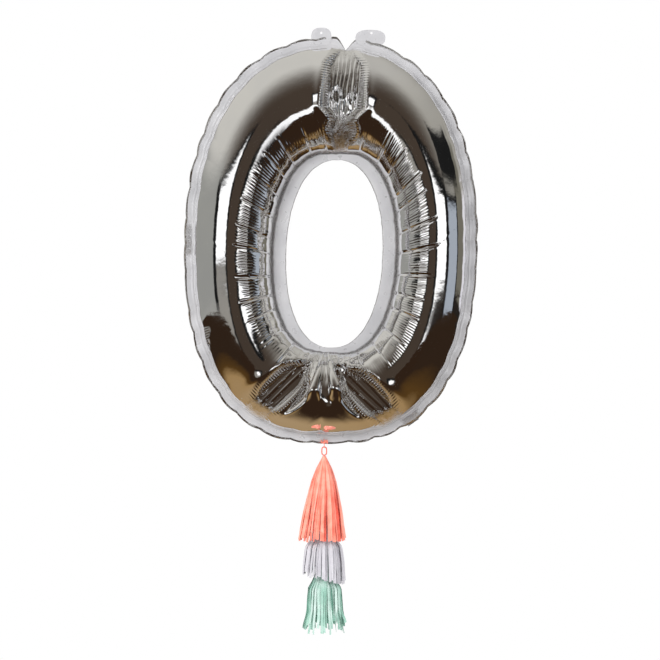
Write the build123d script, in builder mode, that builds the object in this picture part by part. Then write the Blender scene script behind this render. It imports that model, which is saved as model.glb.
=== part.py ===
from build123d import *
from math import cos, pi, sin, sqrt
import os

# A foil number balloon, "0", inflated and hung by two tabs, with a tail of three paper tassels.
# The frame: +Z up, the front faces -Y, and the two films meet in the seam plane Y = 0.
# The origin is midway between the two hanging holes. All sizes are in millimetres.

# Film and seams
film = 0.6
flange_width = 21
eye_flange_width = 32
weld_lip = 4

# The outline of the balloon and of the eye of the zero: superellipses that lean a little
outline_centre = (-32, -431)
outline_half_width = 305
outline_half_height = 423
outline_power_above = 2.25
outline_power_below = 2.5
outline_lean = 0.012
eye_centre = (-25, -459)
eye_half_width = 100
eye_half_height = 195
eye_power = 2.2
eye_lean = 0.03

# How far the inflated tube stands out from the seam plane
tube_depth_side = 76
tube_depth_rise = 7

# Hanging tabs
tab_spacing = 104
tab_width = 36
tab_top = 13
tab_root = -28
tab_corner = 9
hang_hole_radius = 2.5

# Filling neck, folded straight back from the lower right edge
neck_angle = -60
neck_half_width = 13
neck_root_half_width = 16
neck_length = 60
neck_flare_length = 10
neck_gap = 0.4
neck_start = 0.8
liner_thickness = 0.4
liner_half_width = 9
leaf_half_width = 23
leaf_length = 90
leaf_inset = 3.4

# Tail: a thread through the bottom flange, then three tassels nested one inside the other
tail_x = -46
tie_hole_z = -844
tie_hole_radius = 3
tie_ring_radius = 9
thread_radius = 0.8
knot_size = (8.5, 4, 4.5)
knot_centre = (tail_x, -7.7, -849)
eye_strand_radius = 1.1
eye_strand_gap = 0.3
eye_strand_width = 10
eye_strand_height = 17.2
tassel_gap = 1.6
tassel_wall = 1.5
string_radius = 0.6
string_gap = 0.4
string_bite = 0.6

# Each tassel: the height of the lower strand of its eye, how deep its rolled head is,
# and its outer profile as pairs of drop below the top and radius
coral_z = -877
white_z = -961
mint_z = -1071
coral_head_depth = 27
lower_head_depth = 38
coral_profile = [(0, 3.5), (12, 10), (27, 17.5), (52, 26), (75, 30.5), (112, 36.5), (152, 42), (175, 44.5)]
white_profile = [(0, 3.5), (14, 9), (38, 14), (91, 27.5), (104, 36.5), (140, 41), (176, 42.5)]
mint_profile = [(0, 3.5), (14, 9), (38, 15), (66, 25.5), (80, 34), (125, 36), (150, 41), (174, 43)]

outline_points = 48
ring_sections = 20


def loop_point(centre, half_width, half_height, powers, lean, angle):
    """A point of a leaning superellipse, as (x, z); powers are those above and below its centre."""
    across = cos(angle * pi / 180)
    up = sin(angle * pi / 180)
    power = powers[0] if up >= 0 else powers[1]
    x = half_width * abs(across) ** (2 / power) * (1 if across >= 0 else -1)
    z = half_height * abs(up) ** (2 / power) * (1 if up >= 0 else -1)
    return (centre[0] + x + lean * z, centre[1] + z)


def outer_point(inset, angle):
    """A point of the balloon's outline, or of the curve that lies inset inside it."""
    powers = (outline_power_above, outline_power_below)
    size = (outline_half_width - inset, outline_half_height - inset)
    return loop_point(outline_centre, size[0], size[1], powers, outline_lean, angle)


def eye_point(outset, angle):
    """A point of the edge of the eye, or of the curve that lies outset outside it."""
    size = (eye_half_width + outset, eye_half_height + outset)
    return loop_point(eye_centre, size[0], size[1], (eye_power, eye_power), eye_lean, angle)


def closed_curve(point, distance):
    """A smooth closed curve through points of one of the two outlines."""
    steps = [360 * i / outline_points for i in range(outline_points)]
    return Spline([point(distance, angle) for angle in steps], periodic=True)


def tube_section(angle):
    """The plane, half width and depth of the tube's section at this angle round the eye."""
    inner = eye_point(eye_flange_width, angle)
    outer = outer_point(flange_width, angle)
    run = (outer[0] - inner[0], outer[1] - inner[1])
    length = sqrt(run[0] ** 2 + run[1] ** 2)
    along = (run[0] / length, run[1] / length)
    middle = ((inner[0] + outer[0]) / 2, 0, (inner[1] + outer[1]) / 2)
    plane = Plane(origin=middle, x_dir=(along[0], 0, along[1]), z_dir=(along[1], 0, -along[0]))
    depth = tube_depth_side + tube_depth_rise * sin(angle * pi / 180)
    return plane, length / 2, depth


# Front film: the inflated half tube, its flanges and the front halves of the two tabs
with BuildPart() as front_foil:
    for first in (0, 180):
        for step in range(ring_sections + 1):
            plane, half_width, depth = tube_section(first + 180 * step / ring_sections)
            with BuildSketch(plane):
                with BuildLine():
                    outside = EllipticalCenterArc((0, 0), half_width, depth, arc_size=180)
                    inside = EllipticalCenterArc((0, 0), half_width - film, depth - film, arc_size=180)
                    Line(outside @ 0, inside @ 0)
                    Line(outside @ 1, inside @ 1)
                make_face()
        loft()
    with BuildSketch(Plane.XZ) as flange:
        with BuildLine():
            closed_curve(outer_point, 0)
        make_face()
        with BuildLine():
            closed_curve(outer_point, flange_width + weld_lip)
        make_face(mode=Mode.SUBTRACT)
        with BuildLine():
            closed_curve(eye_point, eye_flange_width + weld_lip)
        make_face()
        with BuildLine():
            closed_curve(eye_point, 0)
        make_face(mode=Mode.SUBTRACT)
        with Locations((0, (tab_top + tab_root) / 2)):
            with GridLocations(tab_spacing, 0, 2, 1):
                RectangleRounded(tab_width, tab_top - tab_root, tab_corner)
        with GridLocations(tab_spacing, 0, 2, 1):
            Circle(hang_hole_radius, mode=Mode.SUBTRACT)
        with Locations((tail_x, tie_hole_z)):
            Circle(tie_hole_radius, mode=Mode.SUBTRACT)
    extrude(amount=film)
front_foil.part.label = "front_foil"

# Back film: the mirror image, welded to the front film along the seam plane
with BuildPart() as back_foil:
    mirror(front_foil.part, about=Plane.XZ)
back_foil.part.label = "back_foil"

# The place of the filling neck on the outline: its tangent there and its outward normal
neck_before = outer_point(0, neck_angle - 1)
neck_after = outer_point(0, neck_angle + 1)
neck_root = outer_point(0, neck_angle)
neck_step = sqrt((neck_after[0] - neck_before[0]) ** 2 + (neck_after[1] - neck_before[1]) ** 2)
tangent = ((neck_after[0] - neck_before[0]) / neck_step, (neck_after[1] - neck_before[1]) / neck_step)
outward = Vector(tangent[1], 0, -tangent[0])
neck_origin = Vector(neck_root[0], 0, neck_root[1])


def neck_plane(distance):
    """The plane of one of the neck's films, this far outside the edge; its y axis runs back."""
    return Plane(
        origin=neck_origin + outward * distance,
        x_dir=(-tangent[0], 0, -tangent[1]),
        z_dir=(outward.X, 0, outward.Z),
    )


def neck_film(label, distance):
    """One film of the neck: a strip that flares where it leaves the balloon."""
    with BuildPart() as strip:
        with BuildSketch(neck_plane(distance)):
            with BuildLine():
                Polyline(
                    (-neck_root_half_width, neck_start),
                    (neck_root_half_width, neck_start),
                    (neck_half_width, neck_flare_length),
                    (neck_half_width, neck_length),
                    (-neck_half_width, neck_length),
                    (-neck_half_width, neck_flare_length),
                    close=True,
                )
            make_face()
        extrude(amount=film)
    strip.part.label = label
    return strip.part


neck_film_back = neck_film("neck_film_back", neck_gap)
neck_film_front = neck_film("neck_film_front", neck_gap + film + liner_thickness)

# The valve's flat inlet tube between the two films of the neck
with BuildPart() as neck_liner:
    with BuildSketch(neck_plane(neck_gap + film)):
        with Locations((0, (neck_start + neck_length) / 2)):
            Rectangle(2 * liner_half_width, neck_length - neck_start)
    extrude(amount=liner_thickness)
neck_liner.part.label = "neck_liner"

# The self-sealing valve inside the tube: two leaves welded under the lips of the two flanges
leaf_start = neck_origin - outward * (flange_width + leaf_inset)


def valve_leaf(label, side):
    """One leaf of the valve; side is -1 for the front one and 1 for the back one."""
    leaf_plane = Plane(
        origin=leaf_start + Vector(0, side * film, 0),
        x_dir=(tangent[0], 0, tangent[1]),
        z_dir=(0, side, 0),
    )
    inward = 1 if leaf_plane.y_dir.dot(outward) < 0 else -1
    with BuildPart() as leaf:
        with BuildSketch(leaf_plane):
            with Locations((0, inward * leaf_length / 2)):
                Rectangle(2 * leaf_half_width, leaf_length)
        extrude(amount=film)
    leaf.part.label = label
    return leaf.part


valve_leaf_front = valve_leaf("valve_leaf_front", -1)
valve_leaf_back = valve_leaf("valve_leaf_back", 1)

# The thread ring through the bottom flange, and its knot in front
tie_centre_z = tie_hole_z - tie_ring_radius
with BuildPart(Plane(origin=(tail_x, 0, tie_centre_z), z_dir=(1, 0, 0))) as tie_thread:
    Torus(tie_ring_radius, thread_radius)
tie_thread.part.label = "tie_thread"

with BuildPart() as tie_knot:
    with BuildSketch(Plane(origin=knot_centre, x_dir=(1, 0, 0), z_dir=(0, -1, 0))):
        Ellipse(knot_size[0], knot_size[2])
        with Locations((0, -knot_size[2])):
            Rectangle(2 * knot_size[0], 2 * knot_size[2], mode=Mode.SUBTRACT)
    revolve(axis=Axis(knot_centre, (1, 0, 0)))
tie_knot.part.label = "tie_knot"


def tassel_eye(label, lower_z):
    """The twisted paper eye of a tassel, upright in the plane of the balloon."""
    middle = (tail_x, 0, lower_z + eye_strand_height / 2)
    with BuildPart() as eye:
        with BuildSketch(Plane(origin=middle, x_dir=(0, 0, 1), z_dir=(0, -1, 0)), mode=Mode.PRIVATE) as slot:
            SlotOverall(eye_strand_height, eye_strand_width)
        path = slot.sketch.wires()[0]
        with BuildSketch(Plane(origin=path @ 0, z_dir=path % 0)):
            Circle(eye_strand_radius)
        sweep(path=path)
    eye.part.label = label
    return eye.part


def tassel_plane(lower_z):
    """The plane of a tassel's profile: x is its radius, and y is 0 at the tassel's top."""
    return Plane(origin=(tail_x, 0, lower_z - tassel_gap), x_dir=(1, 0, 0), z_dir=(0, -1, 0))


def tassel_skirt(label, lower_z, profile):
    """The hollow skirt of cut strips round a tassel's head."""
    outside = [(radius, -drop) for drop, radius in profile]
    inside = [(radius - tassel_wall, -drop) for drop, radius in reversed(profile)]
    with BuildPart() as skirt:
        with BuildSketch(tassel_plane(lower_z)):
            with BuildLine():
                Polyline(*outside, *inside, close=True)
            make_face()
        revolve(axis=Axis((tail_x, 0, 0), (0, 0, 1)))
    skirt.part.label = label
    return skirt.part


def tassel_head(label, lower_z, profile, depth):
    """The rolled core of a tassel, which fills the top of its skirt."""
    side = [(radius - tassel_wall, -drop) for drop, radius in profile if drop <= depth]
    with BuildPart() as head:
        with BuildSketch(tassel_plane(lower_z)):
            with BuildLine():
                Polyline((0, 0), *side, (0, -depth), close=True)
            make_face()
        revolve(axis=Axis((tail_x, 0, 0), (0, 0, 1)))
    head.part.label = label
    return head.part


def tail_string(label, head_z, head_depth, next_z):
    """The thread from a tassel's head down to the top of the next tassel's eye."""
    top = head_z - tassel_gap - head_depth - string_gap
    bottom = next_z + eye_strand_height + eye_strand_radius - string_bite
    with BuildPart() as string:
        with BuildSketch(Plane.XY.offset(bottom)):
            with Locations((tail_x, 0)):
                Circle(string_radius)
        extrude(amount=top - bottom)
    string.part.label = label
    return string.part


pieces = [
    front_foil.part,
    back_foil.part,
    valve_leaf_front,
    valve_leaf_back,
    neck_film_front,
    neck_film_back,
    neck_liner.part,
    tie_thread.part,
    tie_knot.part,
    tassel_eye("coral_eye", coral_z),
    tassel_head("coral_head", coral_z, coral_profile, coral_head_depth),
    tassel_skirt("coral_skirt", coral_z, coral_profile),
    tail_string("upper_string", coral_z, coral_head_depth, white_z),
    tassel_eye("white_eye", white_z),
    tassel_head("white_head", white_z, white_profile, lower_head_depth),
    tassel_skirt("white_skirt", white_z, white_profile),
    tail_string("lower_string", white_z, lower_head_depth, mint_z),
    tassel_eye("mint_eye", mint_z),
    tassel_head("mint_head", mint_z, mint_profile, lower_head_depth),
    tassel_skirt("mint_skirt", mint_z, mint_profile),
]
os.makedirs("parts", exist_ok=True)
for piece in pieces:
    export_step(piece, f"parts/{piece.label}.step")
print("neck root", neck_origin, "tangent", tangent, "outward", outward)
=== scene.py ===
import math

import bpy
import numpy as np
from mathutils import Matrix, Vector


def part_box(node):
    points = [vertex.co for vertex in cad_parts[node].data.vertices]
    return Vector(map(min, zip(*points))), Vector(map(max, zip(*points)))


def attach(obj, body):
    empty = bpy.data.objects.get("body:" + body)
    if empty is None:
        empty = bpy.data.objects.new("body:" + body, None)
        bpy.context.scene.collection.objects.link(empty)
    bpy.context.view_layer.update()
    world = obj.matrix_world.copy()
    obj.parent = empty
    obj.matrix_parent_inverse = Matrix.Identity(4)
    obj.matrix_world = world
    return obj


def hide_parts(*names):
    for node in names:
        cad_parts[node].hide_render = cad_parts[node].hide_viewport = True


# The looks of an inflated foil number balloon, "0", with a tail of three tissue tassels.
# Sizes are in millimetres in the row frame until a mesh is made; +Z is up and the front faces -Y.

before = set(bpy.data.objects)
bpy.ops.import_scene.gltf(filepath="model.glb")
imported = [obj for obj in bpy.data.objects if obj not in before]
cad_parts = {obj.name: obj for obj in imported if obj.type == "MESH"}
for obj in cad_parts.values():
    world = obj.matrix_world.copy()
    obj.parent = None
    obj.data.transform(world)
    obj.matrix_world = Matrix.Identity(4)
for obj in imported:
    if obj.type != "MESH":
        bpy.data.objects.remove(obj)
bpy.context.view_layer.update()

rng = np.random.default_rng(11)
lattice = rng.uniform(-1, 1, (256, 256))

# The same curves as the part's
OUTLINE = {"centre": (-32, -431), "half": (305, 423), "powers": (2.25, 2.5), "lean": 0.012}
EYE = {"centre": (-25, -459), "half": (100, 195), "powers": (2.2, 2.2), "lean": 0.03}
FLANGE = 21
EYE_FLANGE = 32
FILM_GAP = 0.15
PLEAT_PERIOD = 5.4
TAIL_X = -46
RIGHT_LIMB = (-60, 60)
TAB_LOW, TAB_HOLE = 28, 2.5
NECK_DEPTH = 60
NECK_ROOT = np.array([138.652, 0, -808.02])
NECK_ALONG = np.array([0.8149, 0, 0.5796])
NECK_OUT = np.array([0.5796, 0, -0.8149])

# Long folds where the tube buckles, from the inner seam to the outer seam: the floor's half width
# along the way, its level, whether it is flat, how far the tube rolls off beside it, and the side
# with the lens-shaped bulge (0 for none)
TOP_WIDTHS = [(0, 3), (0.22, 19), (0.3, 12), (0.35, 15), (0.41, 29), (0.82, 30), (0.9, 19), (1, 9)]
LEFT_WIDTHS = [(0, 2), (0.16, 5), (0.24, 13), (0.34, 19), (0.88, 20), (0.96, 12), (1, 5)]
RIGHT_WIDTHS = [(0, 2), (0.1, 5), (0.18, 13), (0.28, 19), (0.88, 20), (0.96, 12), (1, 5)]
BUCKLES = [
    dict(inner=(-15, -256), outer=(1, -34), widths=TOP_WIDTHS, floor=0.71, flat=False, roll=21, lens=0),
    dict(inner=(-64, -672), outer=(-206, -802), widths=LEFT_WIDTHS, floor=0.64, flat=True, roll=25, lens=-1),
    dict(inner=(-16, -692), outer=(106, -814), widths=RIGHT_WIDTHS, floor=0.64, flat=True, roll=25, lens=1),
]


def smooth(value, low, high):
    """0 below low, 1 above high, and a smooth rise between them."""
    t = np.clip((value - low) / (high - low), 0, 1)
    return t * t * (3 - 2 * t)


def noise(x, y):
    """Smooth lattice noise from -1 to 1."""
    x, y = np.broadcast_arrays(np.asarray(x, float), np.asarray(y, float))
    i, j = np.floor(x).astype(int), np.floor(y).astype(int)
    u, v = smooth(x - i, 0, 1), smooth(y - j, 0, 1)
    i, j = i % 256, j % 256
    k, m = (i + 1) % 256, (j + 1) % 256
    low = lattice[i, j] * (1 - u) + lattice[k, j] * u
    high = lattice[i, m] * (1 - u) + lattice[k, m] * u
    return low * (1 - v) + high * v


def crumple(x, y):
    """Sharp-edged facets of crumpled film, from about -1 to 1."""
    total = 0.0
    for octave, share in ((1, 0.55), (1.9, 0.3), (3.7, 0.15)):
        total = total + share * (1 - 2.2 * np.abs(noise(x * octave + 31 * octave, y * octave)))
    return total


def loop(curve, grow, turn):
    """Points (x, z) of a leaning superellipse that is grown by so many millimetres."""
    across, up = np.cos(turn), np.sin(turn)
    power = np.where(up >= 0, curve["powers"][0], curve["powers"][1])
    reach = (np.abs(across) ** power + np.abs(up) ** power) ** (-1 / power)
    x = (curve["half"][0] + grow) * across * reach
    z = (curve["half"][1] + grow) * up * reach
    return np.stack([curve["centre"][0] + x + curve["lean"] * z, curve["centre"][1] + z], -1)


def round_turns(count):
    """Angles evenly spaced round a full turn."""
    return np.linspace(0, 2 * np.pi, count + 1)[:-1]


def run_of(points):
    """Distance along a closed line of points, and its whole length."""
    steps = np.linalg.norm(np.roll(points, -1, axis=0) - points, axis=1)
    return np.concatenate([[0], np.cumsum(steps)[:-1]]), steps.sum()


def even_turns(count):
    """Turns that are evenly spaced along the inner shoulder."""
    fine = np.linspace(0, 2 * np.pi, 9001)
    line = 0.62 * loop(EYE, EYE_FLANGE, fine) + 0.38 * loop(OUTLINE, -FLANGE, fine)
    length = np.concatenate([[0], np.cumsum(np.linalg.norm(np.diff(line, axis=0), axis=1))])
    return np.interp(np.arange(count) / count * length[-1], length, fine)


def spaced(total, mean, jitter, seed):
    """Places along a closed edge, about evenly spaced."""
    count = int(round(total / mean))
    shift = np.random.default_rng(seed).uniform(-jitter, jitter, count)
    shift[0] = 0
    return (np.arange(count) + shift) * total / count


def between(run, places, total):
    """Which interval each place along a closed edge is in, how far through it, and its length."""
    which = np.searchsorted(places, run, side="right") - 1
    ends = np.append(places[1:], total)
    size = ends[which] - places[which]
    return which, (run - places[which]) / size, size


def quads_of(columns, rows, closed=False):
    """The quads of a grid of points; closed joins its last column to its first."""
    i, j = np.meshgrid(np.arange(columns if closed else columns - 1), np.arange(rows - 1), indexing="ij")
    k = (i + 1) % columns
    return np.stack([i * rows + j, k * rows + j, k * rows + j + 1, i * rows + j + 1], -1).reshape(-1, 4)


def grid_mesh(name, points, closed=False, slots=None, attributes=None):
    """A smooth mesh from a grid of points in millimetres; slots are one column of quads' slots."""
    columns, rows = points.shape[:2]
    quads = quads_of(columns, rows, closed)
    slots = None if slots is None else np.tile(slots, len(quads) // (rows - 1))
    values = {key: np.broadcast_to(value, (columns, rows)) for key, value in (attributes or {}).items()}
    return quad_mesh(name, points, quads, slots, values)


def add_object(name, data):
    """An object with that data, in the scene."""
    made = bpy.data.objects.new(name, data)
    bpy.context.scene.collection.objects.link(made)
    return made


def quad_mesh(name, points, quads, slots, attributes):
    """A smooth mesh from points in millimetres and quads, with the quads' slots and numbers on the points."""
    mesh = bpy.data.meshes.new(name)
    mesh.vertices.add(points.size // 3)
    mesh.vertices.foreach_set("co", (points.reshape(-1) / 1000).astype(np.float32))
    mesh.loops.add(quads.size)
    mesh.loops.foreach_set("vertex_index", quads.reshape(-1).astype(np.int32))
    mesh.polygons.add(len(quads))
    mesh.polygons.foreach_set("loop_start", np.arange(0, quads.size, 4, dtype=np.int32))
    if slots is not None:
        mesh.polygons.foreach_set("material_index", slots.astype(np.int32))
    for key, values in attributes.items():
        layer = mesh.attributes.new(key, "FLOAT", "POINT")
        layer.data.foreach_set("value", values.reshape(-1).astype(np.float32))
    mesh.update(calc_edges=True)
    mesh.validate()
    mesh.shade_smooth()
    return add_object(name, mesh)


def finish_piece(piece, body, slot, nodes, *materials):
    """Gives a piece its materials and its body, and hides the nodes it stands for; slot is not used."""
    for material in materials:
        piece.data.materials.append(material)
    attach(piece, body)
    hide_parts(*nodes)
    return piece


# Materials


class Net:
    """A node tree and short ways to add to it; a value is a number, a colour or a node's output."""

    def __init__(self, tree):
        self.tree = tree

    def put(self, socket, value):
        """Links an output to a socket or sets the socket's value; None leaves it alone."""
        if isinstance(value, bpy.types.NodeSocket):
            self.tree.links.new(value, socket)
        elif value is not None:
            socket.default_value = value

    def feed(self, node, **values):
        """Sets a node's inputs; an underscore in a name stands for a space."""
        for name, value in values.items():
            self.put(node.inputs[name.replace("_", " ")], value)

    def add(self, kind, output, **values):
        """Adds a node with those inputs and returns one of its outputs."""
        node = self.tree.nodes.new("ShaderNode" + kind)
        self.feed(node, **values)
        return node.outputs[output]

    def math(self, operation, first, second=None):
        """A math node on two outputs or numbers."""
        node = self.tree.nodes.new("ShaderNodeMath")
        node.operation = operation
        self.put(node.inputs[0], first)
        self.put(node.inputs[1], second)
        return node.outputs["Value"]

    def times(self, first, second):
        return self.math("MULTIPLY", first, second)

    def less(self, first, second):
        return self.math("SUBTRACT", first, second)

    def noise(self, scale, detail, distortion=0.0):
        """A noise texture in the object's own space, where the object is in metres."""
        place = self.add("TexCoord", "Object")
        return self.add("TexNoise", "Fac", Vector=place, Scale=scale, Detail=detail, Distortion=distortion)

    def ramp(self, value, stops):
        """A colour ramp; stops are (position, colour)."""
        made = self.add("ValToRGB", "Color", Fac=value)
        elements = made.node.color_ramp.elements
        for place, (position, colour) in enumerate(stops):
            element = elements[place] if place < 2 else elements.new(position)
            element.position = position
            element.color = (*colour, 1)
        return made

    def range(self, value, low, high, source=(0.3, 0.7)):
        """Maps a texture's usual range onto low to high."""
        made = self.add("MapRange", "Result", Value=value, To_Min=low, To_Max=high)
        self.feed(made.node, From_Min=source[0], From_Max=source[1])
        return made

    def step(self, value, low, high):
        """A smooth step from 0 to 1 as value goes from low to high."""
        made = self.range(value, 0, 1, (low, high))
        made.node.interpolation_type = "SMOOTHSTEP"
        return made

    def band(self, value, low, high, soft):
        """1 between low and high, 0 outside, with soft edges of that width."""
        rise, fall = (self.step(value, place - soft / 2, place + soft / 2) for place in (low, high))
        return self.less(rise, fall)

    def mix(self, share, first, second):
        """Mixes two colours by a share."""
        node = self.tree.nodes.new("ShaderNodeMix")
        node.data_type = "RGBA"
        first, second = ((*value, 1) if isinstance(value, tuple) else value for value in (first, second))
        self.feed(node, Factor=share, A=first, B=second)
        return node.outputs["Result"]

    def bump(self, height, distance, strength=1.0, normal=None):
        """A bump of so many metres."""
        return self.add("Bump", "Normal", Strength=strength, Distance=distance, Height=height, Normal=normal)

    def attribute(self, name):
        """A number stored on the mesh."""
        made = self.add("Attribute", "Fac")
        made.node.attribute_name = name
        return made

    def gathered(self, normal):
        """Tiny sharp creases where the film is gathered."""
        creases = self.math("ABSOLUTE", self.less(self.noise(240, 3), 0.5))
        return self.bump(self.times(creases, self.attribute("gathered")), 0.011, 1.0, normal)


def new_material(name):
    """A material with its node tree and its Principled shader."""
    material = bpy.data.materials.new(name)
    material.use_nodes = True
    return material, Net(material.node_tree), material.node_tree.nodes["Principled BSDF"]


def foil_material():
    """Mirror-bright film with faint haze, micro wrinkles and the fine pleats beside each buckle."""
    material, net, shader = new_material("silver_foil")
    tone = net.ramp(net.noise(9, 3), [(0.3, (0.86, 0.86, 0.87)), (0.7, (0.93, 0.925, 0.915))])
    haze = net.range(net.noise(22, 5), 0.03, 0.085)
    fine = net.bump(net.noise(55, 3), 0.0006, 0.35)
    wave = net.math("SINE", net.times(net.attribute("pleat_run"), 2 * math.pi / PLEAT_PERIOD))
    pleated = net.bump(net.times(wave, net.attribute("pleat_share")), 0.00042, 1.0, fine)
    net.feed(shader, Base_Color=tone, Metallic=1, Roughness=haze, Normal=net.gathered(pleated))
    return material


def seal_material():
    """The heat-sealed flange: a pale, satin film with a fine pressed grain."""
    material, net, shader = new_material("sealed_foil")
    tone = net.ramp(net.noise(14, 3), [(0.3, (0.57, 0.57, 0.59)), (0.7, (0.7, 0.695, 0.71))])
    gathered = net.attribute("gathered")
    metal = net.range(gathered, 0.3, 0.92, (0.05, 0.6))
    haze = net.times(net.range(net.noise(60, 3), 0.26, 0.34), net.range(gathered, 1.0, 0.4, (0, 0.6)))
    grain = net.bump(net.noise(700, 2), 0.0001, 0.12)
    waves = net.bump(net.noise(26, 2), 0.0012, 0.2, grain)
    net.feed(shader, Base_Color=tone, Metallic=metal, Roughness=haze, Normal=net.gathered(waves))
    return material


def film_material():
    """Clear, slightly milky valve film."""
    material, net, shader = new_material("valve_film")
    tone = net.ramp(net.noise(60, 3), [(0.3, (0.84, 0.86, 0.88)), (0.7, (0.93, 0.94, 0.95))])
    haze, ripple = net.range(net.noise(120, 4), 0.15, 0.35), net.bump(net.noise(200, 3), 0.0004, 0.3)
    net.feed(shader, Base_Color=tone, Transmission_Weight=0.75, IOR=1.45, Roughness=haze, Normal=ripple)
    return material


def tissue_material(name, shade, body, light):
    """Crepe-like tissue paper: matt, with fine fibres and creases; its colour runs from painted shade through
    its body colour to painted light, by noise and each strip's own tone.
    """
    material, net, shader = new_material(name)
    blend = net.math("ADD", net.times(net.noise(45, 5), 0.6), net.times(net.attribute("strip_tone_and_shade"), 0.4))
    tone = net.ramp(blend, [(0.22, shade), (0.5, body), (0.78, light)])
    matt = net.range(net.noise(150, 4), 0.75, 0.92)
    creases = net.bump(net.noise(160, 4, 0.4), 0.0012, 0.5, net.bump(net.noise(1100, 3), 0.0002, 0.35))
    net.feed(shader, Base_Color=tone, Roughness=matt, Normal=creases)
    net.feed(shader, Specular_IOR_Level=0.25, Sheen_Weight=0.12)
    return material


def thread_material(name, dark, light):
    """Twisted thread with a fine slanting twist and a little fuzz."""
    material, net, shader = new_material(name)
    tone = net.ramp(net.noise(500, 4), [(0.3, dark), (0.7, light)])
    matt = net.range(net.noise(300, 3), 0.7, 0.9)
    place = net.add("TexCoord", "Object")
    twist = net.add("TexWave", "Fac", Scale=260, Distortion=1.5, Vector=place)
    twist.node.bands_direction = "DIAGONAL"
    net.feed(shader, Base_Color=tone, Roughness=matt, Sheen_Weight=0.2, Normal=net.bump(twist, 0.0003, 0.7))
    return material


# Camera, world and lights


def make_camera():
    """The photograph's view: level, straight on to the front, and as wide as the whole picture."""
    data = bpy.data.cameras.new("camera")
    data.sensor_width = 36
    data.lens = 105.03
    camera = add_object("camera", data)
    camera.location = (-0.034, -4, -0.617)
    camera.rotation_euler = (math.pi / 2, 0, 0)
    bpy.context.scene.camera = camera


# Patches of the studio that mirrors show: colour, degrees to the right, degrees up, softness of the edges
ROOM = (
    ((0.32, 0.32, 0.3), (-140, -52), (-14, 17), 10),
    ((0.17, 0.16, 0.13), (88, 122), (-16, 22), 8),
    ((0.74, 0.73, 0.78), (-182, -146), (-6, 22), 5),
    ((0.76, 0.75, 0.8), (122, 182), (-14, 9), 4),
    ((0.012, 0.012, 0.012), (50, 108), (12, 27), 3),
    ((0.01, 0.01, 0.01), (-58, -14), (-9, 13), 3),
    ((0.3, 0.285, 0.26), (-48, -18), (-16, -1), 4),
    ((1.25, 1.25, 1.25), (-48, -18), (-1, 10), 2),
    ((0.01, 0.01, 0.01), (9, 54), (-6, 12), 3),
    ((1.25, 1.25, 1.25), (15, 46), (-4, 7), 1.5),
)
RIGHT_SCREEN = (((0.012, 0.012, 0.013), (52, 94), (-20, 10), 2), ((0.38, 0.42, 0.48), (56, 90), (-17, 7), 2))
LOW_GLINT = (((0.6, 0.6, 0.62), (30, 62), (-46, -34), 5),)


def make_world():
    """White for the camera, soft white light for the matt pieces, and a studio for mirrors to show.

    turn is degrees to the right of the balloon's front, and rise is degrees above level."""
    world = bpy.data.worlds.new("studio")
    bpy.context.scene.world = world
    world.use_nodes = True
    world.cycles.sampling_method = "NONE"
    net = Net(world.node_tree)
    place = net.add("TexCoord", "Generated")
    x, y, z = net.add("SeparateXYZ", "X", Vector=place).node.outputs
    front = net.times(y, -1.0)
    turn = net.times(net.math("ARCTAN2", x, front), 180 / math.pi)
    rise = net.times(net.math("ARCSINE", z), 180 / math.pi)

    def patched(colour, patches):
        for lit, turns, rises, soft in patches:
            share = net.times(net.band(turn, *turns, soft), net.band(rise, *rises, soft * 1.5))
            colour = net.mix(share, colour, lit)
        return colour

    low_right = net.mix(net.step(rise, 22, 70), (0.36, 0.345, 0.31), (0.5, 0.485, 0.45))
    high = net.mix(net.step(turn, -12, 34), (0.6, 0.585, 0.545), low_right)
    colour = net.mix(net.step(front, 0.25, 0.95), high, (0.06, 0.044, 0.033))
    colour = patched(colour, ROOM)
    below = net.times(rise, -1.0)
    paper = net.mix(net.step(turn, 14, 26), (1.1, 1.1, 1.1), (0.02, 0.016, 0.014))
    paper = net.mix(net.step(turn, -58, -50), (0.3, 0.295, 0.28), paper)
    held_back = net.times(net.less(1.0, net.step(turn, 8, 15)), 6.0)
    colour = net.mix(net.step(net.less(below, held_back), 5, 7), colour, paper)
    colour = patched(colour, RIGHT_SCREEN)
    colour = net.mix(net.step(below, 23, 25), colour, (0.035, 0.024, 0.016))
    sweep = net.mix(net.step(turn, -30, 30), (0.16, 0.11, 0.07), (0.4, 0.42, 0.46))
    colour = net.mix(net.step(below, 30, 33), colour, sweep)
    colour = net.mix(net.step(below, 64, 80), colour, (0.4, 0.3, 0.2))
    colour = patched(colour, LOW_GLINT)
    glossy = net.add("LightPath", "Is Glossy Ray")
    colour = net.mix(glossy, (0.92, 0.92, 0.93), colour)
    colour = net.mix(glossy.node.outputs["Is Camera Ray"], colour, (1.0, 1.0, 1.0))
    net.feed(world.node_tree.nodes["Background"], Color=colour)


def make_light(name, place, aim, size, power):
    """A soft area light that mirrors don't show."""
    data = bpy.data.lights.new(name, "AREA")
    data.shape = "RECTANGLE"
    data.size, data.size_y = size
    data.energy = power
    light = add_object(name, data)
    light.location = place
    way = [b - a for a, b in zip(place, aim)]
    light.rotation_euler = (math.atan2(math.hypot(way[0], way[1]), -way[2]), 0, math.atan2(-way[0], way[1]))
    light.visible_glossy = False


def disc_mesh(name, sides, radii, middle=0, height=0):
    """A level disc made of rings."""
    turns = round_turns(sides)[:, None]
    points = np.full((sides, len(radii), 3), float(height))
    points[..., 0] = np.cos(turns) * np.array(radii) + middle
    points[..., 1] = np.sin(turns) * np.array(radii)
    return grid_mesh(name, points, closed=True)


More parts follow.
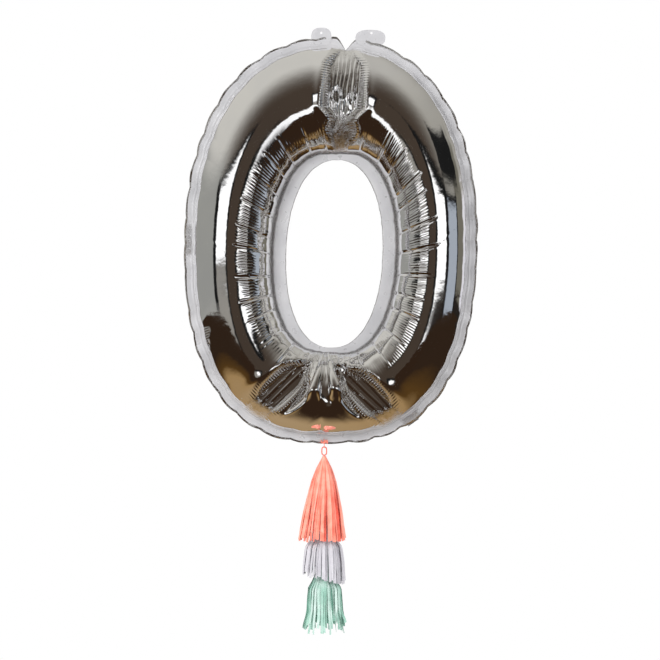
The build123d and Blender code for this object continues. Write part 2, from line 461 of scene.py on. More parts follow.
def make_card():
    """A glowing table top that only the film mirrors, so the film shows painted light: a tan painted highlight
    in the middle, dark further out and straight ahead.
    """
    material, net, _ = new_material("studio_wood_painted_light")
    place = net.add("TexCoord", "Object")
    shifted, far = (net.tree.nodes.new("ShaderNodeVectorMath") for _ in range(2))
    far.operation = "LENGTH"
    net.put(shifted.inputs[0], place)
    net.put(shifted.inputs[1], (0.14, 0.02, 0))
    net.put(far.inputs[0], shifted.outputs["Vector"])
    grain = net.times(net.noise(3, 3), 0.12)
    reach = net.math("ADD", far.outputs["Value"], grain)
    x, y, _ = net.add("SeparateXYZ", "X", Vector=place).node.outputs
    ahead = net.times(y, -1.0)
    beside = net.less(net.math("ABSOLUTE", x), net.times(ahead, 0.55))
    inside = net.less(1.0, net.step(net.math("ADD", beside, grain), 0.02, 0.22))
    dark = net.times(inside, net.step(ahead, 0.03, 0.14))
    # The tan middle is a painted highlight, fading to dark brown further out.
    tan = [(0.0, (0.42, 0.3, 0.17)), (0.46, (0.36, 0.23, 0.1))]
    brown = [(0.6, (0.09, 0.045, 0.012)), (0.9, (0.03, 0.017, 0.01))]
    tone = net.mix(dark, net.ramp(reach, tan + brown), (0.03, 0.016, 0.009))
    # The card glows with these colours instead of being lit by the lamps.
    glow = net.add("Emission", "Emission", Color=tone)
    net.feed(net.tree.nodes["Material Output"], Surface=glow)
    card = disc_mesh("table_card", 64, (1, 700, 1400, 2200))
    card.location = (TAIL_X / 1000, 0, -0.94)
    card.data.materials.append(material)
    card.visible_camera = card.visible_diffuse = card.visible_shadow = card.visible_transmission = False


def make_floor():
    """A round, matt, pale floor well below the tail."""
    material, net, shader = new_material("studio_floor")
    tone = net.ramp(net.noise(2, 3), [(0.3, (0.8, 0.8, 0.79)), (0.7, (0.84, 0.84, 0.83))])
    net.feed(shader, Base_Color=tone, Roughness=0.85)
    floor = disc_mesh("floor", 96, (1, 900, 1800, 2700), TAIL_X, -1900)
    floor.data.materials.append(material)
    floor.visible_glossy = False


# Foil


def along_line(x, z, start, end):
    """How far points are along a line, as a share, how far beside it, and its length."""
    start, end = np.array(start, float), np.array(end, float)
    length = np.linalg.norm(end - start)
    way = (end - start) / length
    dx, dz = x - start[0], z - start[1]
    return (dx * way[0] + dz * way[1]) / length, dx * way[1] - dz * way[0], length


def buckle_parts(buckle, x, z, arc):
    """The share of its depth that the tube keeps, and masks for the floor, its border and its two ends."""
    share, beside, length = along_line(x, z, buckle["inner"], buckle["outer"])
    stops, widths = zip(*buckle["widths"])
    past = np.abs(beside) - np.interp(share, stops, widths)
    level = buckle["floor"] * np.ones_like(past)
    middle = smooth(share, 0.3, 0.38) * (1 - smooth(share, 0.86, 0.94))
    if buckle["flat"]:
        plane = level * (1 - 0.12 * np.cos(arc)) / np.maximum(np.sin(arc), 0.05)
        level = 0.92 - 0.02 * np.logaddexp(0, (0.92 - plane) / 0.02)
        middle = smooth(0.92 - level, 0.02, 0.06)
    strip = 1 + 21 * np.sin(np.pi * np.clip((share - 0.2) / 0.78, 0, 1)) ** 0.7
    lens = np.clip(past / strip, 0, 1) * (np.sign(beside) == buckle["lens"])
    out = (past - strip * (lens > 0)) / buckle["roll"]
    kept = level + (1 - level) * (1 - (1 - np.clip(out, 0, 1)) ** 2.3)
    kept = kept + (0.1 * np.sin(np.pi * lens) + 0.03 * lens) * smooth(strip, 3, 9)
    kept = kept + 0.03 * np.exp(-(((past / buckle["roll"] - 0.95) / 0.5) ** 2))
    here = smooth(share, -0.14, 0.0) * (1 - smooth(share, 1.02, 1.16))
    kept = 1 - (1 - kept) * here
    floor = 1 - smooth(past, -3, 1)
    border = smooth(past, 0, 3) * (1 - smooth(past, 10, 22)) * smooth(share, 0.1, 0.2)
    ends = (1 - smooth(past, 2, 9)) * (1 - middle)
    return kept, floor * middle, border * here, ends * here, share * length, beside


def crease(x, z, start, end, width, height):
    """A sharp fold along a line from start to end; a height below 0 makes it a groove."""
    along, beside, _ = along_line(x, z, start, end)
    fade = smooth(along, -0.25, 0.25) * (1 - smooth(along, 0.75, 1.25))
    return height * np.exp(-np.abs(beside) / width) * fade


def patch_of(x, z, centre, reach):
    """A soft round mask."""
    return np.exp(-(((x - centre[0]) / reach) ** 2) - (((z - centre[1]) / reach) ** 2))


def normals_of(points, side):
    """Outward unit normals of a closed grid of points."""
    round_way = np.roll(points, -1, axis=0) - np.roll(points, 1, axis=0)
    over_way = np.gradient(points, axis=1)
    across = np.cross(round_way, over_way)
    across /= np.linalg.norm(across, axis=-1, keepdims=True) + 1e-9
    wrong = (across[..., 1] * side).mean() < 0
    return -across if wrong else across


def rows_of_tube(count):
    """Angles over the tube from the inner to the outer seam, closer together on the inner side."""
    inner = int(count * 0.79)
    return np.concatenate([np.linspace(0, 120, inner, endpoint=False), np.linspace(120, 180, count - inner)])


def nearer(values, which, through):
    """For each place in an interval, the value that belongs to the interval's nearer end."""
    return np.where(through < 0.5, values[which][:, None], values[(which + 1) % (len(values) - 1)][:, None])


def panels_of(over, line, which, through, side):
    """Flat panels between the inner wall's bands, a groove beside the seam, and where the panels fold."""
    swell = 1.9 * (1 - (2 * through - 1) ** 2) * smooth(over, 3, 14) * (1 - smooth(over, 44, 62))
    fold_at = 50 + 3 * noise(line / 37, 2.4 + side)
    chord = np.clip(1 - ((over - fold_at / 2 - 9) / (fold_at / 2 - 9)) ** 2, 0, 1)
    depth = 0.55 + 0.45 * np.clip(2 * noise(which[:, None] * 1.7 + 0.5, 3.1 + side), -1, 1)
    groove = -1.6 * np.clip(1 - ((over - 14) / 10) ** 2, 0, 1)
    return swell - 2.7 * chord * depth + groove, fold_at


def dents_of(x, over, run, total, side, fold_at):
    """Roof-shaped facets about every 28 mm and small dents, shallower on the right."""
    cuts = spaced(total, 28, 0.2, 8 + side)
    part, share, _ = between(run, cuts, total)
    slope = np.random.default_rng(90 + side).uniform(-1.6, 1.6, len(cuts) + 1)[part][:, None]
    there = smooth(over, 4, 9) * (1 - smooth(over, fold_at - 5, fold_at + 1))
    roofs = slope * (1 - np.abs(2 * share[:, None] - 1)) * there
    small = 0.3 * np.abs(noise(run[:, None] / 12, over / 12 + 7 * side)) * (1 - smooth(over, 30, 50))
    return (1 - 0.7 * smooth(x, *RIGHT_LIMB)) * roofs - small


def inner_side(x, z, over, inward, run, total, side):
    """Folds of the inner shoulder and wall: bands about every 52 mm, flat panels between, fine pleats."""
    places = spaced(total, 52, 0.16, 5 + side)
    which, through, size = between(run, places, total)
    line, through, size = run[:, None], through[:, None], size[:, None]
    deep = np.random.default_rng(40 + side).uniform(0.5, 1.2, len(places) + 1)
    near = nearer(deep, which, through)
    gap = np.minimum(through, 1 - through) * size + 1.2 * noise(over / 14, line / 60)
    stop = 54 + 26 * np.exp(-(((z + 400) / 150) ** 2)) + 5 * noise(line / 9, 8.7 + side)
    reach = smooth(over, 2, 14) * (1 - smooth(inward, stop - 8, stop + 7 * near))
    bands = near * (-1.1 * np.exp(-((gap / 1.9) ** 2)) + 0.55 * np.exp(-(((gap - 4.6) / 2.0) ** 2)))
    panels, fold_at = panels_of(over, line, which, through, side)
    dents = dents_of(x, over, run, total, side, fold_at)
    wave = np.abs(np.sin(np.pi * (line / 6.8 + 0.35 * noise(line / 34, over / 40)))) * 2 - 1.1
    start = 31 - 9 * smooth(x, -30, 20) + 3 * noise(line / 11, 3.3 + side)
    there = smooth(inward, start - 3, start + 3) * (1 - smooth(inward, stop - 26, stop + 5))
    pleats = (0.42 - 0.3 * smooth(x, *RIGHT_LIMB)) * wave * there
    seam = 1.0 * crumple(line / 9, over / 7 + 3 * side) * (1 - smooth(over, 4, 13)) * smooth(over, 0, 2.5)
    knot = np.clip(1.25 * patch_of(x, z, (-43, -722), 56) + 1.2 * patch_of(x, z, (-8, -170), 40), 0, 1)
    return (reach * bands + panels + dents + pleats) * (1 - knot) + seam


def outer_side(over, run, total, places, side):
    """Creases that run in from the cusps of the outer seam, and the soft pillows between them."""
    which, through, size = between(run, places, total)
    through, size = through[:, None], size[:, None]
    gap = np.minimum(through, 1 - through) * size
    long = np.random.default_rng(60 + side).uniform(5, 20, len(places) + 1)
    near = nearer(long, which, through)
    down = 180 - over
    lines = -0.8 * np.exp(-((gap / 2.2) ** 1.4)) * (1 - smooth(down, near * 0.3, near)) * smooth(down, 0, 1.5)
    pillows = 0.4 * np.sin(np.pi * through) * smooth(down, 0, 8) * (1 - smooth(down, 18, 50))
    small = 0.25 * noise(run[:, None] / 8 + 5 * side, down / 10)
    return lines + pillows + small * smooth(down, 0, 3) * (1 - smooth(down, 6, 16))


def cone(x, z, start, end, width, height):
    """A round ridge that widens from a point at its start to a soft end."""
    along, beside, _ = along_line(x, z, start, end)
    half = 2 + (width - 2) * np.clip(along, 0, 1) ** 0.8
    over_top = np.clip(1 - (beside / half) ** 2, 0, 1) ** 0.7
    fade = smooth(along, -0.05, 0.08), 1 - smooth(along, 0.78, 1.2)
    return height * (0.35 + 0.65 * np.clip(along, 0, 1)) * over_top * fade[0] * fade[1]


def bottom_folds(x, z):
    """The folds under the eye: two ridges that spread downwards, grooves and crumples."""
    folds = cone(x, z, (-46, -662), (-68, -752), 14, 12)
    folds = folds + cone(x, z, (-39, -662), (-21, -750), 13.5, 12)
    folds = folds + crease(x, z, (-43, -664), (-44, -728), 6, -4)
    folds = folds + crease(x, z, (-53, -802), (-55, -836), 6, -3)
    folds = folds + crease(x, z, (-125, -650), (-88, -684), 3, 3)
    folds = folds + crease(x, z, (-4, -684), (36, -664), 3, 3)
    tiny = patch_of(x, z, (-82, -684), 22) + patch_of(x, z, (-8, -684), 22)
    return folds + 3.2 * tiny * crumple(x / 12, z / 11)


def floor_folds(flat, along, beside, side):
    """Lengthwise folds of a buckle's floor: flat strips with sharp ridges, or rounder flutes."""
    if not flat:
        phase = beside / 8.2 + 0.8 * noise(along / 44, beside / 26 + side)
        flutes = np.abs(np.sin(np.pi * phase)) * 2 - 1.1
        creases = 1.3 * crumple(along / 30 + 3, beside / 13 + 7 * side)
        return 1.2 * flutes + creases + 0.5 * noise(along / 9, beside / 5)
    phase = beside / 13 + 0.3 + 0.3 * noise(along / 70, beside / 40 + side)
    saw = np.abs(2 * (phase - np.floor(phase)) - 1)
    ridges = 1.5 * np.exp(-(((1 - saw) / 0.22) ** 2))
    return 0.5 * saw + ridges + 0.35 * crumple(along / 40 + 3, beside / 24 + 7 * side)


def scalloped(edge, run, through, side, turn):
    """The outline by inset from its edge: scallops, and the notch between the tabs."""
    calm = 1 - 0.5 * np.exp(-(((edge[:, 1] + 480) / 130) ** 2))
    cusp = calm * np.abs(2 * through - 1) ** 1.8
    beside, top = np.abs(edge[:, 0] - 1), edge[:, 1] > -250
    notch = np.where(top, np.clip(1 - beside / 21, 0, 1) ** 1.2, 0)
    seam_notch = np.where(top, np.clip(1 - beside / 30, 0, 1) ** 1.3, 0)
    proud = 0.9 * smooth(noise(run / 26, 3.7), -0.25, 0.5) * (side > 0) - 0.2

    def ring(inset):
        share = inset / FLANGE
        grow = -inset - cusp * (3.8 - 1.6 * share) - notch * 25 * (1 - share) - seam_notch * 9 * share
        return loop(OUTLINE, grow + proud * (1 - share), turn)

    return ring


def waved(edge, run, through, size):
    """How the outer flange waves out of its plane, alike on both films; how rough and knotted it is."""
    near_neck = patch_of(edge[:, 0], edge[:, 1], (139, -806), 26)
    near_side = np.exp(-(((edge[:, 0] + 333) / 20) ** 2) - (((edge[:, 1] + 430) / 42) ** 2))
    gap = np.minimum(through, 1 - through) * size
    wave = 1.6 * np.sin(2 * np.pi * (through - 0.2)) + 1.3 * noise(run / 40, 2.2)
    wave += 0.9 * np.exp(-((gap / 5) ** 2))
    rough = np.clip(0.2 + 1.1 * noise(run / 120, 5.1), 0, 1) + 1.5 * near_neck + 1.3 * near_side
    ripple = 1.1 * noise(run / 9, 6.6) + 0.4 * noise(run / 5, 7.4)

    def level(inset):
        free = 1 - inset / FLANGE
        crumpled = crumple(run / 11, inset / 8 + 3)
        knots = 3 * near_side * crumpled - 1.8 * near_neck * (1 + crumpled)
        return wave * free + rough * ripple * smooth(free, 0.75, 1) + knots * smooth(free, 0.0, 0.5)

    return level, rough, near_neck + near_side


def buckled(x, z, arc, side):
    """All the buckles: the share of depth that is kept, their folds, the pleats beside them, their shine."""
    kept, folds, pleat_share, pleat_run, shine = 1.0, 0.0, 0.0, 0.0, 0.0
    for buckle in BUCKLES:
        share, floor, border, ends, along, beside = buckle_parts(buckle, x, z, arc)
        kept = kept * share
        folds = folds + floor * floor_folds(buckle["flat"], along, beside, side)
        folds = folds + 2.6 * ends * crumple(along / 20 + 9, beside / 15 + 4 * side)
        shine = np.maximum(shine, 0.1 * floor * smooth(noise(along / 15, beside / 9), 0.3, 0.7) + 0.25 * ends)
        pleat_run = np.where(border > 0.02, along, pleat_run)
        pleat_share = np.maximum(pleat_share, border)
    return kept, folds, pleat_share, pleat_run, shine


def all_pleats(x, z, inward, run_in, run_out, share, run):
    """Adds the right limb's fine lines and the pleats at the lower left edge to the buckles' pleats."""
    fine = 0.28 * smooth(x, *RIGHT_LIMB) * smooth(inward, 5, 16) * (1 - smooth(inward, 40, 75))
    run = np.where(share > 0.02, run, run_in[:, None])
    ladder = (1 - smooth(np.abs(x + 291), 5, 10)) * (1 - smooth(np.abs(z + 650), 30, 42))
    run = np.where(ladder > 0.02, run_out[:, None], run)
    return np.maximum(np.maximum(share, fine), ladder), run


def eye_flange(seam_at, shift, run, turn, side):
    """The flange round the eye, from its free edge to the seam, with a pressed line near the seam."""
    rows = []
    for part in (0, 0.04, 0.25, 0.5, 0.66, 0.71, 0.76, 0.86, 0.93):
        ring = loop(EYE, seam_at * part + shift * part + 0.5 * noise(run / 16, 4.4), turn)
        bend = 0.9 * noise(run / 34, part * 1.5) * (1 - part)
        level = bend + side * (FILM_GAP + (0.3 if part == 0.71 else 0))
        rows.append(np.stack([ring[:, 0], level, ring[:, 1]], -1))
    return np.stack(rows, 1)


def outer_flange(outline, level, side):
    """The outer flange, from the seam to its free edge, with two pressed lines."""
    rows = []
    for inset in (18.6, 17.6, 16.9, 16.2, 15.4, 14.7, 11, 7, 3.5, 1.5, 0):
        ring = outline(inset)
        pressed = 0.3 if inset in (16.9, 15.4) else 0
        rows.append(np.stack([ring[:, 0], level(inset) + side * (FILM_GAP + pressed), ring[:, 1]], -1))
    return np.stack(rows, 1)


def foil_surface(side, columns, tube_rows):
    """One film of the balloon as a grid of points; side is -1 for the front film and 1 for the back."""
    turn = even_turns(columns)
    edge = loop(OUTLINE, 0, turn)
    run_out, total_out = run_of(edge)
    places = spaced(total_out, 62, 0.17, 3)
    _, through, size = between(run_out, places, total_out)
    outline = scalloped(edge, run_out, through, side, turn)
    level, rough, knots = waved(edge, run_out, through, size)

    # the flange round the eye is narrower at its bottom and its top
    low, high = (turn - 1.5 * np.pi + 0.06) / 0.5, (turn - 0.5 * np.pi) / 0.42
    seam_at = EYE_FLANGE - (21 * np.exp(-(low**2)) + 17 * np.exp(-(high**2)))
    inner, outer = loop(EYE, seam_at, turn), loop(OUTLINE, -FLANGE - 1.5, turn)
    run_in, total_in = run_of(0.62 * inner + 0.38 * outer)
    inner_shift = 0.8 * noise(run_in / 13, 1.5) + 0.4 * noise(run_in / 6, 9.5)
    inner_step = (loop(EYE, seam_at + inner_shift, turn) - inner)[:, None]
    outer_step = (outline(FLANGE) - outer)[:, None]

    # the plain tube between the two seams
    over = rows_of_tube(tube_rows)[None, :]
    arc = np.radians(over)
    middle, reach = (inner + outer) / 2, np.linalg.norm(outer - inner, axis=1)[:, None] / 2
    way = (outer - inner) / (2 * reach)
    across = -np.cos(arc) * reach
    near_in, near_out = np.clip(1 - over / 26, 0, 1) ** 2, np.clip((over - 118) / 62, 0, 1) ** 3
    x, z = (
        middle[:, k, None]
        + way[:, k, None] * across
        + inner_step[..., k] * near_in
        + outer_step[..., k] * near_out
        for k in (0, 1)
    )
    kept, folds, pleat_share, pleat_run, shine = buckled(x, z, arc, side)
    inward = (1 - np.cos(arc)) * reach
    pleat_share, pleat_run = all_pleats(x, z, inward, run_in, run_out, pleat_share, pleat_run)
    settle = level(FLANGE)[:, None] * (1 - np.cos(arc)) / 2
    y = side * (FILM_GAP + (77 + 7 * np.sin(turn)[:, None]) * np.sin(arc) * kept) + settle
    points = np.stack([x, y, z], -1)

    # folds, along the tube's normals
    wide = 0.8 * noise(x / 90 + 3 * side, z / 90) + 0.16 * noise(x / 40, z / 40 + 5 * side)
    lift = wide * np.sin(arc) + inner_side(x, z, over, inward, run_in, total_in, side)
    lift = lift + outer_side(over, run_out, total_out, places, side)
    lift = lift + folds * np.sin(arc) ** 0.5 + bottom_folds(x, z) * smooth(over, 0, 12)
    lift = lift * smooth(over, 0, 3) * smooth(180 - over, 0, 3)
    points = points + normals_of(points, side) * lift[..., None]
    points[:, :, 1] = np.where(points[:, :, 1] * side < FILM_GAP, side * FILM_GAP + settle, points[:, :, 1])

    inner_rows = eye_flange(seam_at, inner_shift, run_in, turn, side)
    outer_rows = outer_flange(outline, level, side)
    before, after = inner_rows.shape[1], outer_rows.shape[1]
    widths = ((0, 0), (before, after))
    values = {
        "pleat_run": np.pad(pleat_run * np.ones_like(x), widths),
        "pleat_share": np.pad(pleat_share * np.sin(arc) ** 0.5, widths),
        "gathered": gathered_share(before, over, after, run_in, rough, knots, shine),
    }
    grid = np.concatenate([inner_rows, points, outer_rows], axis=1)
    slots = np.ones(grid.shape[1] - 1, int)
    slots[before : before + tube_rows - 1] = 0
    slots[[0, -2, -1]] = 0
    return grid, slots, values


def gathered_share(before, over, after, run, rough, knots, shine):
    """Where the film is gathered into tiny creases: the inner seam, the buckles and the rims."""
    seam = (1 - smooth(over, 4, 14)) * (0.75 + 0.25 * noise(run / 12, 3.9))[:, None]
    inside = np.zeros((len(run), before))
    inside[:, 0] = 0.4
    inside[:, -2:] = np.array([0.5, 1])
    outside = np.zeros((len(run), after))
    outside[:, -3:] = np.clip(0.15 + rough, 0, 1)[:, None] * np.array([0.3, 0.8, 1])
    outside[:, 5:] = np.maximum(outside[:, 5:], 0.35 * smooth(knots, 0.35, 0.7)[:, None])
    return np.concatenate([inside, np.maximum(seam, shine), outside], 1)


def area_of(piece):
    """A mesh's area in square metres."""
    faces = piece.data.polygons
    areas = np.zeros(len(faces))
    faces.foreach_get("area", areas)
    return float(areas.sum())


def make_foil(side, materials):
    """One film of the balloon, with its welded flanges."""
    columns, tube_rows = ((1230, 62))
    name = "front" if side < 0 else "back"
    grid, slots, values = foil_surface(side, columns, tube_rows)
    if side < 0:
        grid, values = grid[::-1], {key: value[::-1] for key, value in values.items()}
    film = grid_mesh(f"{name}_film", grid, closed=True, slots=slots, attributes=values)
    finish_piece(film, "balloon", "foil", [f"{name}_foil"], *materials)
    round(area_of(film) * 0.98, 3)


def make_tab(name, hole_x, centre_x, half_width, top, material):
    """One hanging tab: two welded films with a round hole and a seal line round the edge."""
    turn = round_turns(96)
    middle, half = (top - TAB_LOW) / 2, (top + TAB_LOW) / 2
    shape = {"centre": (centre_x, middle), "half": (half_width, half), "powers": (2.6, 2.6), "lean": 0}
    edge = loop(shape, 0, turn)
    hole = np.stack([hole_x + TAB_HOLE * np.cos(turn), TAB_HOLE * np.sin(turn)], -1)
    for side in (-1, 1):
        rows = []
        for step in (0, 0.03, 0.1, 0.3, 0.55, 0.72, 0.77, 0.82, 0.92, 0.98, 1):
            ring = hole + (edge - hole) * step
            pressed = 0.3 if step == 0.77 else 0
            bend = 0.5 * noise(ring[:, 0] / 12, ring[:, 1] / 12) * smooth(ring[:, 1], -12, 2)
            level = bend + side * (0.06 + pressed)
            rows.append(np.stack([ring[:, 0], level, ring[:, 1]], -1))
        grid = np.stack(rows, 1)
        word = "front" if side < 0 else "back"
        tab = grid_mesh(f"{name}_tab_{word}", grid if side < 0 else grid[::-1], closed=True)
        tab.data.materials.append(material)
        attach(tab, "balloon")


def make_neck_strip(name, node, shift, half_width, slot, material, seed):
    """One film of the filling neck, which is folded straight back from the flange's edge."""
    t = np.linspace(0, 1, 60)[None, :]
    across = np.linspace(-1, 1, 22)[:, None]
    back = 0.6 + (NECK_DEPTH - 0.6) * t
    flare = half_width + 3 * (1 - smooth(t, 0, 0.16))
    bent = 0.9 * noise(back / 9 + seed, across * 2.2) * smooth(t, 0, 0.2)
    bent += 0.5 * noise(back / 4, across * 4 + seed)
    points = (
        NECK_ROOT
        + NECK_OUT * (shift + bent)[..., None]
        + NECK_ALONG * (across * flare * (1 + 0.02 * noise(back / 8, seed)))[..., None]
    )
    points[..., 1] = back + 0.8 * noise(across * 3, seed) * smooth(t, 0.9, 1)
    strip = grid_mesh(name, points)
    finish_piece(strip, "neck", slot, [node], material)


def make_leaf(name, node, side, material):
    """One leaf of the valve, inside the tube."""
    low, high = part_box(node)
    middle = np.array([(a + b) / 2 for a, b in zip(low, high)]) * 1000
    t = np.linspace(-0.5, 0.5, 50)[None, :]
    across = np.linspace(-0.5, 0.5, 26)[:, None]
    even = np.ones_like(across * t)
    points = middle + NECK_OUT * (90 * t * even)[..., None] + NECK_ALONG * (46 * across * even)[..., None]
    points[..., 1] = middle[1] + 0.25 * noise(across * 5 + 3 * side, t * 9)
    leaf = grid_mesh(name, points)
    finish_piece(leaf, "balloon", "clear_film", [node], material)


# Tail


def tube_mesh(name, path, radius, sides, strands, twist, depth, closed=False):
    """A tube along a path, with so many strands wound round it like a rope's."""
    ahead = np.roll(path, -1, axis=0) - np.roll(path, 1, axis=0) if closed else np.gradient(path, axis=0)
    ahead /= np.linalg.norm(ahead, axis=1, keepdims=True)
    normal = np.cross(ahead[0], (0.3, 0.9, 0.31))
    frames = []
    for step in ahead:
        normal = normal - step * (normal @ step)
        normal /= np.linalg.norm(normal)
        frames.append((normal.copy(), np.cross(step, normal)))
    radius = np.broadcast_to(radius, len(path))
    turn = round_turns(sides)
    run = np.concatenate([[0], np.cumsum(np.linalg.norm(np.diff(path, axis=0), axis=1))])
    rows = []
    for place, (first, second) in enumerate(frames):
        ring = radius[place] * (1 + depth * np.cos(strands * turn + twist * run[place]))
        across, up = (np.cos(turn) * ring)[:, None], (np.sin(turn) * ring)[:, None]
        rows.append(path[place] + first * across + second * up)
    grid = np.stack(rows, 1)
    if closed:
        grid = np.concatenate([grid, grid[:, :1]], axis=1)
    return grid_mesh(name, grid, closed=True)


def make_thread(name, node, body, slot, points, diameter, material):
    """A thread as one open curve along its points."""
    data = bpy.data.curves.new(name, "CURVE")
    data.dimensions = "3D"
    data.bevel_depth = diameter / 2000
    data.bevel_resolution = 5
    data.resolution_u = 24
    data.use_fill_caps = True
    line = data.splines.new("NURBS")
    line.points.add(len(points) - 1)
    for knot, point in zip(line.points, points):
        knot.co = (*(value / 1000 for value in point), 1)
    line.order_u = 3
    line.use_endpoint_u = True
    made = finish_piece(add_object(name, data), body, slot, [node], material)


def make_string(node, body, top, bottom, lean, material):
    """A cotton thread between two tassels."""
    third = (top - bottom) / 3
    drops = ((0, 0, top), (lean, 0.3, top - third), (-lean, -0.3, bottom + third), (0, 0, bottom))
    points = [(TAIL_X + x, y, z) for x, y, z in drops]
    make_thread(f"{node}_thread", node, body, "cotton", points, 1.2, material)


def make_tie(material):
    """The thread loop through the bottom flange, and its knot in front."""
    turn = np.radians(np.linspace(148, 148 - 344, 15))
    points = [(TAIL_X, 9 * math.cos(a), -853 + 9 * math.sin(a)) for a in turn]
    make_thread(
        "tie_thread_loop", "tie_thread", "balloon", "coral_thread", points, 1.6, material
    )
    t = np.linspace(0, 1, 260)
    wind = 2 * np.pi * 5 * t
    x = TAIL_X + (6.6 + 0.5 * np.sin(wind * 0.37)) * np.sin(2 * np.pi * 1.5 * t + 0.4)
    y = -7.6 + 2.2 * np.cos(wind) + 0.5 * np.sin(2 * np.pi * 3 * t)
    z = -848.7 + 2.4 * np.sin(wind) + 0.9 * np.cos(2 * np.pi * 2 * t)
    knot = tube_mesh("tie_knot_thread", np.stack([x, y, z], -1), 1.15, 12, strands=3, twist=2.6, depth=0.16)
    finish_piece(knot, "balloon", "coral_thread", ["tie_knot"], material)


def make_eye(colour, low, material):
    """A tassel's eye of twisted tissue."""
    t = round_turns(140)
    half, straight = 5.0, 3.6
    x = TAIL_X + half * np.cos(t)
    z = low + half + straight + half * np.sin(t) + straight * np.tanh(3.2 * np.sin(t))
    path = np.stack([x, 0.25 * np.sin(5 * t), z], -1)
    radius = 1.12 + 0.1 * noise(t * 3, 2.5)
    eye = tube_mesh(f"{colour}_paper_eye", path, radius, 16, strands=4, twist=1.5, depth=0.13, closed=True)
    finish_piece(eye, f"{colour}_link", f"{colour}_tissue", [f"{colour}_eye"], material)


def make_head(colour, top, profile, depth, material):
    """The rolled core of a tassel: a paper twist that opens into its skirt."""
    drops, radii = np.array(profile, float).T
    drop = np.concatenate([[0, 0.2], np.linspace(0.6, depth, 40), [depth]])
    radius = np.interp(drop, drops, radii - 2.2)
    radius[[0, -1]] = 0.02
    turn = round_turns(60)[:, None]
    groove = 1 + 0.11 * np.cos(9 * turn + 0.11 * drop) + 0.05 * noise(turn * 6, drop / 7)
    ring = radius * groove
    points = np.stack([TAIL_X + ring * np.cos(turn), ring * np.sin(turn), top - drop * np.ones_like(turn)], -1)
    tones = {"strip_tone_and_shade": 0.45 + 0.3 * noise(turn * 4, drop / 9)}
    head = grid_mesh(f"{colour}_paper_core", points[::-1], closed=True, attributes=tones)
    finish_piece(head, f"{colour}_tassel", f"{colour}_tissue", [f"{colour}_head"], material)


def tissue_strip(turn, layer, length, width, profile, top, wild, lean, seed):
    """One strip of tissue as a grid of points, from the twist at the top to its free end."""
    random = np.random.default_rng(seed)
    drops, radii = np.array(profile, float).T
    t = np.linspace(0, 1, 30)
    drop = t * length
    free = smooth(t, 0.12, 0.75)
    radius = np.interp(drop, drops, radii) * layer - 0.6
    radius = np.maximum(radius + free * 1.6 * noise(t * 3.1 + seed, 0.5) * wild, 0.7)
    sway = random.uniform(-0.1, 0.1) * free + 0.05 * wild * free * noise(t * 3.3, seed + 0.5)
    flick = random.uniform(-1, 1.4) * wild * smooth(t, 0.82, 1.0)
    angle = turn + sway
    out = np.stack([np.cos(angle), np.sin(angle), np.zeros_like(t)], -1)
    along = np.stack([-np.sin(angle), np.cos(angle), np.zeros_like(t)], -1)
    spine = out * (radius + 2.2 * flick)[:, None]
    spine[:, 0] += TAIL_X + lean * (0.6 + 0.4 * math.copysign(1, lean) * math.cos(turn)) * t**1.3
    spine[:, 2] = top - drop + 0.8 * np.abs(flick)
    turned = 0.45 + 0.45 * wild
    twist = turned * (random.uniform(-1, 1) + 0.4 * noise(t * 4.0 + seed, 1.5)) * free
    side = along * np.cos(twist)[:, None] + out * np.sin(twist)[:, None]
    face = out * np.cos(twist)[:, None] - along * np.sin(twist)[:, None]
    half = width / 2 * (0.32 + 0.68 * smooth(t, 0, 0.35))
    rows = []
    for place in (-1, -0.5, 0, 0.5, 1):
        curl = (0.5 * random.uniform(0.4, 1.2) * (place * place - 0.5)) * free
        crimp = 0.35 * noise(t * 22 + seed, place * 1.7) * smooth(t, 0.02, 0.2)
        rows.append(spine + side * (half * place)[:, None] + face * (curl + crimp)[:, None])
    strip = np.stack(rows, 0)
    strip[:, -1, 2] += random.uniform(-0.9, 0.9, 5)
    return strip


def make_skirt(colour, top, profile, lengths, width, count, wild, lean, material):
    """A tassel's skirt: strips of tissue in three layers, as one piece.

    lengths is the usual length, how much longer it is on the right, and the least and most to add."""
    random = np.random.default_rng(len(colour) * 17 + count)
    usual, right_more, least, most = lengths
    points, quads, tones, base = [], [], [], 0
    for layer, share, cut in ((1.0, 0.46, 1), (0.84, 0.32, 0.88), (0.64, 0.22, 0.66)):
        number = int(count * share)
        for place in range(number):
            turn = 2 * np.pi * (place + random.uniform(-0.28, 0.28)) / number + layer * 9
            reach = layer * random.uniform(0.93, 1.0)
            length = cut * (usual + right_more * math.cos(turn) + random.uniform(least, most))
            wide, seed = width * random.uniform(0.8, 1.15), int(random.integers(1, 9999))
            strip = tissue_strip(turn, reach, length, wide, profile, top, wild, lean, seed)
            across, rows = strip.shape[:2]
            points.append(strip.reshape(-1, 3))
            quads.append(quads_of(across, rows) + base)
            # Inner layers get lower tones on average: painted shade under the outer strips.
            tones.append(np.full(across * rows, random.uniform(0, 1) * (0.5 + 0.5 * layer)))
            base += across * rows
    points, quads, tones = (np.concatenate(parts) for parts in (points, quads, tones))
    skirt = quad_mesh(f"{colour}_strips", points, quads, None, {"strip_tone_and_shade": tones})
    finish_piece(skirt, f"{colour}_tassel", f"{colour}_tissue", [f"{colour}_skirt"], material)
    long = profile[-1][0] / 1000
    round(area_of(skirt) / long, 3)


# Each tassel's outline: how far below its top, and how far out
CORAL = [(0, 3.5), (12, 10), (27, 17.5), (52, 26), (75, 30.5), (112, 36.5), (152, 42), (175, 44.5)]
WHITE = [(0, 3.5), (14, 9), (38, 14), (91, 27.5), (104, 36.5), (140, 41), (176, 42.5)]
MINT = [(0, 3.5), (14, 9), (38, 15), (66, 25.5), (80, 34), (125, 36), (150, 41), (174, 43)]


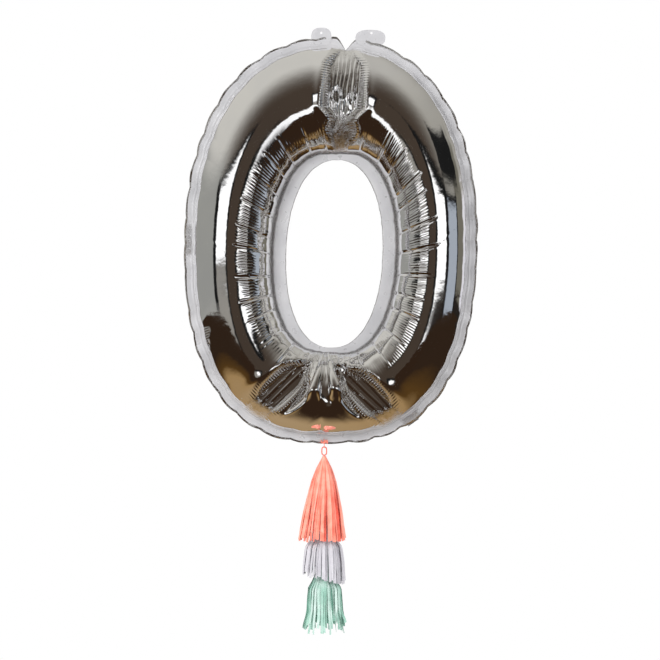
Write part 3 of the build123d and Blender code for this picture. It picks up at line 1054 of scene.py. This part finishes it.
def make_tail():
    """The whole tail below the balloon."""
    # Each tissue's colours: painted shade, its body colour and painted light.
    coral = tissue_material("coral_tissue", (0.7, 0.11, 0.075), (1.0, 0.28, 0.2), (1.0, 0.47, 0.37))
    white = tissue_material("white_tissue", (0.46, 0.45, 0.485), (0.54, 0.525, 0.56), (0.63, 0.615, 0.65))
    mint = tissue_material("mint_tissue", (0.14, 0.34, 0.26), (0.36, 0.57, 0.48), (0.62, 0.73, 0.69))
    coral_thread = thread_material("coral_thread", (0.72, 0.16, 0.11), (0.95, 0.33, 0.25))
    cotton = thread_material("white_cotton", (0.7, 0.68, 0.66), (0.88, 0.87, 0.85))
    make_string("upper_string", "white_link", -906.0, -943.4, 0.5, cotton)
    make_string("lower_string", "mint_link", -1001.0, -1053.4, -0.6, cotton)
    make_tie(coral_thread)
    make_eye("coral", -877, coral)
    make_eye("white", -961, white)
    make_eye("mint", -1071, mint)
    make_head("coral", -878.6, CORAL, 27, coral)
    make_head("white", -962.6, WHITE, 38, white)
    make_head("mint", -1072.6, MINT, 38, mint)
    make_skirt("coral", -878.6, CORAL, (172, 0, -4, 4), 7.4, 124, 0.6, -9, coral)
    make_skirt("white", -962.6, WHITE, (167, 10, -5, 5), 7.2, 124, 0.5, -3, white)
    make_skirt("mint", -1072.6, MINT, (163, 0, -13, 11), 5.8, 128, 1.5, 1, mint)


def main():
    make_camera()
    make_world()
    make_light("key", (-1.6, -2.4, 0.6), (-0.05, 0, -1.0), (1.0, 1.0), 60)
    make_light("fill", (1.8, -1.8, -0.6), (-0.05, 0, -1.0), (1.0, 1.6), 12)
    make_light("back", (0.6, 2.4, 0.6), (-0.05, 0, -0.9), (1.4, 1.2), 30)
    make_card()
    make_floor()
    make_tail()
    films = (foil_material(), seal_material())
    clear = film_material()
    make_foil(-1, films)
    make_foil(1, films)
    make_tab("left", -52, -52, 21, 11, films[1])
    make_tab("right", 52, 50, 31, 6.5, films[1])
    make_neck_strip("neck_front_film", "neck_film_front", 1.9, 13, "foil", films[1], 2)
    make_neck_strip("neck_back_film", "neck_film_back", 0.5, 13, "foil", films[1], 5)
    make_neck_strip("neck_valve_film", "neck_liner", 1.2, 9, "clear_film", clear, 8)
    make_leaf("valve_front_film", "valve_leaf_front", -1, clear)
    make_leaf("valve_back_film", "valve_leaf_back", 1, clear)


main()
bpy.context.scene.view_settings.view_transform = "Standard"
